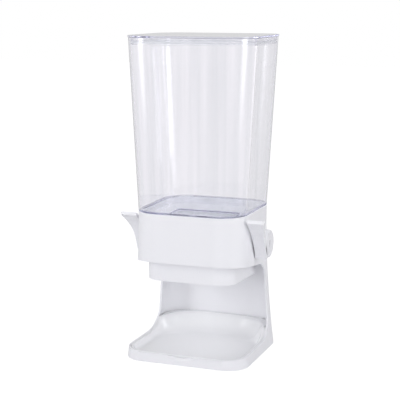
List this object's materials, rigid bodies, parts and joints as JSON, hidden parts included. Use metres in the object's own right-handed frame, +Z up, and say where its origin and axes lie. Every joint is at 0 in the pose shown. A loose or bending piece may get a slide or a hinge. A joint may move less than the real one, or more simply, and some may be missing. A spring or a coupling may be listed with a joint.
{
  "type": "countertop cereal dispenser",
  "caption": "Free-standing dry-food dispenser: clear tapered canister with lid on a one-piece stand, twin side levers that open a gate, chute and lift-out catch tray.",
  "frame": {"origin": "middle of the footprint's box, on the table", "axes": "+Z up, front faces -Y, +X to the right of someone facing the front"},
  "size_m": [0.19, 0.156, 0.4],
  "materials": {
    "stand_white": "satin",
    "lever_white": "satin",
    "tray_white": "satin",
    "inner_white": "matte",
    "clear": "polished, clear",
    "bearing": "matte",
    "soft_seal": "matte",
    "rubber_foot": "matte",
    "steel": "brushed"
  },
  "bodies": {
    "stand": {"stand": "stand_white", "feet": "rubber_foot", "gate_housing": "inner_white", "housing_screws": "steel", "chute": "stand_white", "left_bush": "bearing", "right_bush": "bearing", "left_spring": "steel", "right_spring": "steel", "spout_seal": "soft_seal"},
    "dispenser": {"axle": "steel", "gate": "inner_white", "agitator": "soft_seal", "cross_pins": "steel", "spring_collars": "inner_white", "axle_clips": "steel", "left_lever": "lever_white", "right_lever": "lever_white"},
    "canister": {"canister": "clear"},
    "lid": {"lid": "clear", "lid_seal": "soft_seal"},
    "tray": {"catch_tray": "tray_white"}
  },
  "joints": [
    {"name": "lever_turn", "type": "hinge", "parent": "stand", "child": "dispenser", "pos_m": [0, 0.0055, 0.1435], "axis": [1, 0, 0], "range_deg": [0, 72], "stiffness_Nm_per_rad": 0.12, "springref_deg": -20.05, "deforming": ["left_spring", "right_spring"]},
    {"name": "canister_lift", "type": "slide", "parent": "stand", "child": "canister", "axis": [0, 0, 1], "range_m": [0, 0.1]},
    {"name": "lid_lift", "type": "slide", "parent": "canister", "child": "lid", "axis": [0, 0, 1], "range_m": [0, 0.1]},
    {"name": "tray_lift", "type": "slide", "parent": "stand", "child": "tray", "axis": [0, 0, 1], "range_m": [0, 0.015]}
  ]
}
